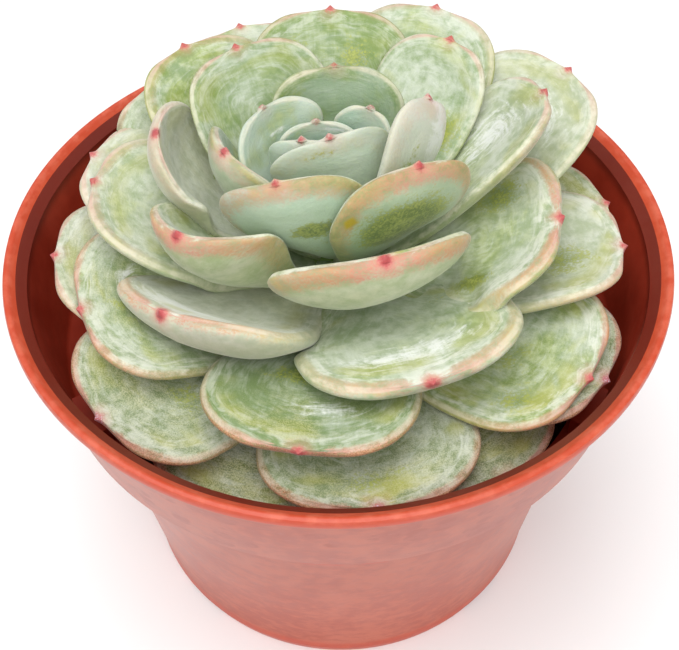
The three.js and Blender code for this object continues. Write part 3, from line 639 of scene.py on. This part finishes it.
def grow(blank, number, row, base, marks=(), younger=()):
    """A copy of the blank, bent along its own midrib, with its skin's relief and the places of its marks."""
    rib = Midrib(row, base)
    leaf = bpy.data.objects.new(f"leaf_{number:02d}_grown", blank.data.copy())
    bpy.context.collection.objects.link(leaf)
    wide_by, thick_by = rib.width / BLANK_WIDTH, rib.thick / BLANK_THICK

    def wave(u, side):
        return 1 + 0.06 * noise.noise((u * 4, side * 5, number * 1.7))

    outline = []
    for i in range(10, 161):
        for side in (-1, 1):
            half = MARGIN_SHARE * width_share(i / 160) * rib.width / 2 * wave(i / 160, side)
            outline.append((side * half, i / 160 * rib.length, 0))
    tree = kdtree.KDTree(len(outline))
    for i, point in enumerate(outline):
        tree.insert(point, i)
    tree.balance()

    azimuth = math.radians(row[0])
    youth = 1 - smooth(number, 7, 12)
    sunny = mix(0.35, 1, smooth(math.cos(azimuth - 0.2), -0.5, 0.7))
    blush = sunny * mix(0.2, 1, smooth(number, 4, 12)) * RIPE.get(number, 1)
    inset = 1.8 * smooth(number, 15, 19) * mix(1, 0.45, smooth(number, 21, 25))
    olive, paleness_and_painted_shading = LEAF_TINT_AND_SHADING.get(number, (0, 0))
    places, edges, marked, growth_and_shading, scars, tops = [], [], [], [], [], []
    for vertex in leaf.data.vertices:
        x, y, z = vertex.co
        u = min(y / BLANK_LENGTH, 1)
        beyond = max(y - BLANK_LENGTH, 0)
        own = 1 - smooth(y, 0.9985 * BLANK_LENGTH, BLANK_LENGTH)
        side = 1 if x > 0 else -1
        x *= mix(1, wide_by, own) * mix(1, wave(u, side), own)
        z *= mix(1, thick_by, own)
        depth = min(max(-z, 0) / (rib.thick * thick_share(u) * (1 - CROWN_SHARE)), 1)
        bulge = BELLY_BULGE * thick_by * smooth(u, 0.8, 1) * (1 - smooth(u, 0.965, 1))
        bulge *= 4 * depth * (1 - depth)
        flat = Vector((x, u * rib.length + beyond + bulge, 0))
        inward = (tree.find((x, flat.y, 0))[0] - flat).length
        body = min(1, inward / 3) * own
        relief = 0.45 * noise.noise((x * 0.13, flat.y * 0.13, number * 3))
        relief += 0.16 * noise.noise((x * 0.45, flat.y * 0.45, number * 3))
        ripple = 0.14 * noise.noise((x * 0.16, flat.y * 0.16, inward * 0.9 + number * 5))
        spread = x / (rib.width / 2)
        sway = 0.9 * noise.noise((u * 2.6, side * 3, number * 2.3)) * spread * spread * smooth(u, 0.3, 0.6)
        lift = rib.cup * x * spread
        wide, face = rib.frame(u)
        along = (rib.heading if u > 0.97 else wide.cross(face)) * (beyond + bulge)
        rise = z + (lift + sway) * own + (relief + ripple) * body
        vertex.co = (rib.at(u) + along + wide * x + face * rise) * MM
        below = max(-z, 0) * MM
        tops.append((vertex.co + face * below, face, u, 0.5 * below))

        places.append((x, flat.y, z * 1.5 + number * 23))
        margin = math.hypot(inward, z)
        to_tip = math.hypot(x, rib.length + 0.4 - flat.y, (z + 0.8) * 0.6)
        edges.append((margin if z > -0.001 else -margin, to_tip, WEAR.get(number, 0)))
        share_across = x / max(rib.width / 2 * width_share(u), 0.5)
        here = {"rub": 0, "chalk": 0, "scar": 0}
        for kind, face_side, across, up, half_across, half_along, strength in marks:
            if face_side * z >= 0:
                dx = (share_across - across) * rib.width / 2 / half_across
                dy = (u - up) * rib.length / half_along
                here[kind] += strength * math.exp(-dx * dx - dy * dy)
        marked.append((here["rub"], here["chalk"], blush))
        growth_and_shading.append((youth, olive, paleness_and_painted_shading))
        scars.append((here["scar"], inset, 0))
    skin = {"place": places, "edge": edges, "marks": marked, "growth_and_shading": growth_and_shading, "scar": scars}
    for name, values in skin.items():
        attribute = leaf.data.attributes.new(name, "FLOAT_VECTOR", "POINT")
        attribute.data.foreach_set("vector", [part for value in values for part in value])
    yield_to(leaf, tops, younger)
    leaf.modifiers.new("smooth", "SUBSURF").levels = 1
    leaf.modifiers["smooth"].render_levels = 1
    apply_all(leaf)
    face_out(leaf)
    pick(leaf)
    bpy.ops.object.shade_smooth()
    return leaf


def make_leaves():
    finish = leaf_finish()
    blank = leaf_blank()
    bud = [grow(blank, -i, row, HEART_BASE) for i, row in enumerate(HEART_LEAVES)]
    deselect()
    for leaf in bud:
        leaf.select_set(True)
    bpy.context.view_layer.objects.active = bud[0]
    bpy.ops.object.join()
    bud[0].name = "heart_grown"
    dress(bud[0], finish, "leaf", "heart")
    younger = [solid_of(bud[0])]
    for age, row in enumerate(LEAVES):
        leaf = grow(blank, age + 1, row, leaf_base(age), MARKS.get(age + 1, ()), younger)
        dress(leaf, finish, "leaf", f"leaf_{age + 1:02d}")
        younger.append(solid_of(leaf))
    bpy.data.objects.remove(blank)


# The pot's radii and heights, with its drain holes, foot notches and stacking lugs.
WALL = 1.2
FLOOR_UNDER, FLOOR_TOP = 1, 2.4
FOOT_INNER, FOOT_RADIUS, BODY_TOP_RADIUS = 33.6, 36, 42.1
STEP_Z, COLLAR_Z = 42, 50
LIP_UNDER, RIM_RADIUS = 68.2, 50
DRAIN_COUNT, DRAIN_RING, DRAIN_RADIUS = 6, 22, 4
NOTCH_COUNT, NOTCH_FIRST, NOTCH_REACH, NOTCH_SIZE = 4, 45, 35.6, (9, 6, 3.2)
LUG_COUNT, LUG_FIRST, LUG_REACH, LUG_Z, LUG_SIZE = 3, 60, 43.3, 52.2, (8, 3.4, 3.6)


def body_radius(z):
    return mix(FOOT_RADIUS, BODY_TOP_RADIUS, z / COLLAR_Z)


def block_on_wall(azimuth, reach, height, size):
    """A block at an azimuth from the front, with its broad side along the wall."""
    angle = math.radians(azimuth)
    deselect()
    bpy.ops.mesh.primitive_cube_add(
        size=MM, location=mm(reach * math.sin(angle), -reach * math.cos(angle), height),
        rotation=(0, 0, angle), scale=size)
    return bpy.context.object


def make_pot():
    profile = [
        (0.5, FLOOR_UNDER), (FOOT_INNER, FLOOR_UNDER), (FOOT_INNER, 0), (FOOT_RADIUS, 0), (body_radius(1), 1),
        (body_radius(2.4) + 0.4, 2.4), (body_radius(3.4) + 0.1, 3.4),
        (body_radius(STEP_Z) - 0.55, STEP_Z - 0.7), (body_radius(STEP_Z), STEP_Z),
        (BODY_TOP_RADIUS, COLLAR_Z - 0.2), (42.5, COLLAR_Z + 0.1), (45.1, COLLAR_Z + 0.5),
        (45.7, COLLAR_Z + 1.2), (48, LIP_UNDER), (49.5, LIP_UNDER), (49.85, 68.35),
        (RIM_RADIUS, 68.7), (RIM_RADIUS, 69.5), (49.85, 69.85), (49.5, RIM_Z),
        (49.2, RIM_Z), (48.9, 69.8), (48.2, 69.2), (46.8, 68),
        (44.5, 51.8), (43.9, 51.1), (40.9, 50.6), (body_radius(FLOOR_TOP) - WALL, FLOOR_TOP + 0.6),
        (body_radius(FLOOR_TOP) - WALL - 0.6, FLOOR_TOP), (0.5, FLOOR_TOP),
    ]
    pot = turned("pot_moulded", profile, 160)
    face_out(pot)
    cutters = []
    for i in range(DRAIN_COUNT):
        angle = math.radians(360 / DRAIN_COUNT * i)
        deselect()
        bpy.ops.mesh.primitive_cylinder_add(
            vertices=24, radius=DRAIN_RADIUS * MM, depth=12 * MM,
            location=mm(DRAIN_RING * math.cos(angle), DRAIN_RING * math.sin(angle), 3))
        cutters.append((bpy.context.object, "DIFFERENCE"))
    for i in range(NOTCH_COUNT):
        notch = block_on_wall(NOTCH_FIRST + 360 / NOTCH_COUNT * i, NOTCH_REACH, 0, NOTCH_SIZE)
        cutters.append((notch, "DIFFERENCE"))
    for i in range(LUG_COUNT):
        lug = block_on_wall(LUG_FIRST + 360 / LUG_COUNT * i, LUG_REACH, LUG_Z, LUG_SIZE)
        cutters.append((lug, "UNION"))
    for cutter, operation in cutters:
        settle(cutter)
        cut = pot.modifiers.new("cut", "BOOLEAN")
        cut.operation, cut.solver, cut.object = operation, "EXACT", cutter
        apply_all(pot)
        bpy.data.objects.remove(cutter)
    for vertex in pot.data.vertices:
        x, y, z = vertex.co / MM
        reach = math.hypot(x, y)
        if reach > 30:
            angle = math.atan2(y, x)
            sway = 0.18 * noise.noise((math.cos(angle) * 1.6, math.sin(angle) * 1.6, z * 0.02))
            sway *= smooth(z, 20, RIM_Z)
            dip = 0.15 * noise.noise((math.cos(angle) * 2.2, math.sin(angle) * 2.2, 9)) * smooth(z, 50, 68)
            vertex.co.x += sway * x / reach * MM
            vertex.co.y += sway * y / reach * MM
            vertex.co.z += dip * MM
    soft = pot.modifiers.new("soft_edges", "BEVEL")
    soft.width, soft.segments, soft.limit_method, soft.angle_limit = 0.22 * MM, 2, "ANGLE", math.radians(50)
    apply_all(pot)
    rounded(pot, 40)
    dress(pot, pot_finish(False), "pot", "pot")
    pot.data.materials.append(pot_finish(True))
    for face in pot.data.polygons:
        x, y, z = face.center / MM
        reach = math.hypot(x, y)
        wall = body_radius(z) - 0.6 if z < COLLAR_Z + 0.6 else mix(45.1, 47.4, (z - COLLAR_Z) / 17)
        face.material_index = int(2 < z < 68.8 and (reach < wall or z > 68.3 and reach < 48))


# Soil, bark and stem.
BARK_REACH = 39.8
def make_soil():
    rings = [mix(40, 1, i / 44) for i in range(45)]
    profile = [(39.4, 40), (40.1, 41), (40.3, SOIL_Z - 1), *((r, SOIL_Z + 1 - (r / 36) ** 2) for r in rings)]
    soil = turned("soil_filling", profile, 112)
    for vertex in soil.data.vertices:
        x, y, z = vertex.co / MM
        reach = math.hypot(x, y)
        if z > SOIL_Z - 0.9:
            rough = 1.1 * noise.noise((x * 0.16, y * 0.16, 2)) + 0.7 * noise.noise((x * 0.5, y * 0.5, 7))
            crumb = 0.45 * noise.noise((x * 1.3, y * 1.3, 4))
            vertex.co.z += (rough + crumb) * MM * smooth(reach, 41, 38)
    face_out(soil)
    pick(soil)
    bpy.ops.object.shade_smooth()
    dress(soil, soil_finish(), "soil", "soil")


def chip_blank():
    """A flat splinter of bark with ragged ends."""
    deselect()
    bpy.ops.mesh.primitive_cube_add(size=1)
    blank = bpy.context.object
    blank.name = "chip_blank"
    edit(blank)
    bpy.ops.mesh.select_all(action="SELECT")
    bpy.ops.mesh.subdivide(number_cuts=1, smoothness=0.4)
    leave()
    return blank


def make_bark():
    """Bark chips and crumbs on the soil, fused in one piece."""
    rng = random.Random(11)
    blank = chip_blank()
    vertices, faces, tints = [], [], []
    shape = [vertex.co.copy() for vertex in blank.data.vertices]
    corners = [tuple(face.vertices) for face in blank.data.polygons]
    bpy.data.objects.remove(blank)

    def scatter(count, long, broad, thin, low, high):
        for _ in range(count):
            angle, reach = rng.uniform(0, 2 * math.pi), math.sqrt(rng.uniform(0.1, 1)) * 38.5
            size = Vector((rng.uniform(*long), rng.uniform(*broad), rng.uniform(*thin)))
            turn = (Matrix.Rotation(rng.uniform(0, 2 * math.pi), 3, "Z")
                    @ Matrix.Rotation(rng.uniform(-0.5, 0.5), 3, "X")
                    @ Matrix.Rotation(rng.uniform(-0.4, 0.4), 3, "Y"))
            height = SOIL_Z + rng.uniform(low, high)
            place = Vector((reach * math.sin(angle), -reach * math.cos(angle), height))
            tint = rng.random()
            first = len(vertices)
            for corner in shape:
                ragged = 1 + 0.35 * (rng.random() - 0.5)
                point = place + turn @ Vector(
                    (corner.x * size.x * ragged, corner.y * size.y * ragged, corner.z * size.z))
                over = math.hypot(point.x, point.y)
                if over > BARK_REACH:
                    point.x *= BARK_REACH / over
                    point.y *= BARK_REACH / over
                vertices.append(point * MM)
                tints.append((tint, 0, 0))
            faces.extend(tuple(first + i for i in face) for face in corners)

    scatter(150, (4, 9), (1.6, 3.4), (0.6, 1.2), 0.4, 2.6)
    scatter(420, (0.8, 2), (0.7, 1.6), (0.5, 1.2), 0.5, 1.8)
    mesh = bpy.data.meshes.new("bark_chips")
    mesh.from_pydata(vertices, [], faces)
    attribute = mesh.attributes.new("tint", "FLOAT_VECTOR", "POINT")
    attribute.data.foreach_set("vector", [number for tint in tints for number in tint])
    chips = bpy.data.objects.new("bark_chips", mesh)
    bpy.context.collection.objects.link(chips)
    face_out(chips)
    rounded(chips, 35)
    chips.data.materials.append(bark_finish())
    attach(chips, "root")


def make_stem():
    profile = [(3.0, 24), (3.4, 28), (4.8, 44.6)]
    profile += [(mix(4.8, 5.5, i / 16) + (0.25 if i % 2 else -0.15), 44.6 + 1.09 * i) for i in range(1, 17)]
    profile += [(4.4, 67), (2.8, 71.5), (1.2, 74)]
    stem = turned("stem_grown", profile, 32)
    for vertex in stem.data.vertices:
        x, y, z = vertex.co / MM
        swell = 1 + 0.08 * noise.noise((x * 0.5, y * 0.5, z * 0.35))
        vertex.co.x *= swell
        vertex.co.y *= swell
    face_out(stem)
    rounded(stem, 60)
    dress(stem, stem_finish(), "stem", "stem")


# The room and the camera, which was found from the ellipse of the rim in the photo.
WORLD_LIGHT = 0.42
LIGHTS = (("overhead", (-0.12, -0.05, 0.9), 0.7, 6.2), ("front_fill", (0.12, -0.75, 0.75), 0.7, 5.4))
LIGHTS_AIM = (0, 0, 0.06)
CAMERA_PITCH, CAMERA_YAW, CAMERA_ROLL = 49.51, 0.03, -0.92
CAMERA_PLACE = (0, -112.4, 179.7)
SENSOR_WIDTH, PHOTO_WIDTH, FOCAL_PIXELS = 36, 679, 1032.9


def make_room():
    deselect()
    bpy.ops.mesh.primitive_plane_add(size=8, location=(0, 0, 0))
    floor = bpy.context.object
    floor.name = "floor"
    paper = Finish("pale_paper", Roughness=0.9, Specular_IOR_Level=0.2)
    paper.shader.inputs["Base Color"].default_value = tone(246, 246, 246)
    floor.data.materials.append(paper.material)

    world = bpy.data.worlds.new("soft_room")
    bpy.context.scene.world = world
    world.use_nodes = True
    world.node_tree.nodes["Background"].inputs[0].default_value = (1, 1, 1, 1)
    world.node_tree.nodes["Background"].inputs[1].default_value = WORLD_LIGHT
    for name, place, size, watts in LIGHTS:
        lamp = bpy.data.lights.new(name, "AREA")
        lamp.size, lamp.energy = size, watts
        lamp_object = bpy.data.objects.new(name, lamp)
        lamp_object.location = place
        lamp_object.rotation_euler = (Vector(LIGHTS_AIM) - Vector(place)).to_track_quat("-Z", "Y").to_euler()
        bpy.context.collection.objects.link(lamp_object)
    bpy.context.scene.view_settings.view_transform = "Standard"
    bpy.context.scene.view_settings.look = "None"


def make_camera():
    pitch, yaw, roll = (math.radians(v) for v in (CAMERA_PITCH, CAMERA_YAW, CAMERA_ROLL))
    forward = Vector((math.sin(yaw) * math.cos(pitch), math.cos(yaw) * math.cos(pitch), -math.sin(pitch)))
    right = forward.cross(Vector((0, 0, 1))).normalized()
    up = right.cross(forward)
    right, up = right * math.cos(roll) + up * math.sin(roll), up * math.cos(roll) - right * math.sin(roll)
    data = bpy.data.cameras.new("photo_view")
    data.sensor_width = SENSOR_WIDTH
    data.lens = SENSOR_WIDTH * FOCAL_PIXELS / PHOTO_WIDTH
    data.clip_start = 0.01
    camera = bpy.data.objects.new("photo_view", data)
    turn = Matrix((right, up, -forward)).transposed().to_4x4()
    camera.matrix_world = Matrix.Translation(mm(*CAMERA_PLACE)) @ turn
    bpy.context.collection.objects.link(camera)
    bpy.context.scene.camera = camera


make_camera()
make_room()
make_leaves()
make_stem()
make_soil()
make_bark()
make_pot()
